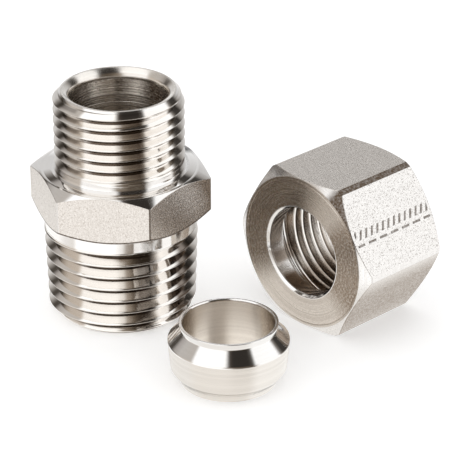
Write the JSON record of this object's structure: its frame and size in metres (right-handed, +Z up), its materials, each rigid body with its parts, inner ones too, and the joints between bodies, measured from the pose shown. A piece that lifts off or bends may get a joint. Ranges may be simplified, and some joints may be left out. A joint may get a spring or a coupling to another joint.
{
  "type": "straight pipe coupling",
  "caption": "Straight compression coupling in stainless steel, taken apart: a stud body with a taper pipe thread, a cutting ring and a union nut.",
  "frame": {"origin": "on the stud body's axis, at the bottom face of its taper thread, on the plane that all three pieces stand on", "axes": "+Z up along the stud body's axis; -Y towards the ring and the viewer; +X towards the nut"},
  "size_m": [0.0562, 0.0421, 0.0327],
  "materials": {
    "body_steel": "bright turned, drawn flats",
    "ring_steel": "bright turned",
    "nut_steel": "turned end faces, satin drawn flats"
  },
  "bodies": {
    "root": {"stud_body": "body_steel", "cutting_ring": "ring_steel", "union_nut": "nut_steel"}
  },
  "joints": []
}
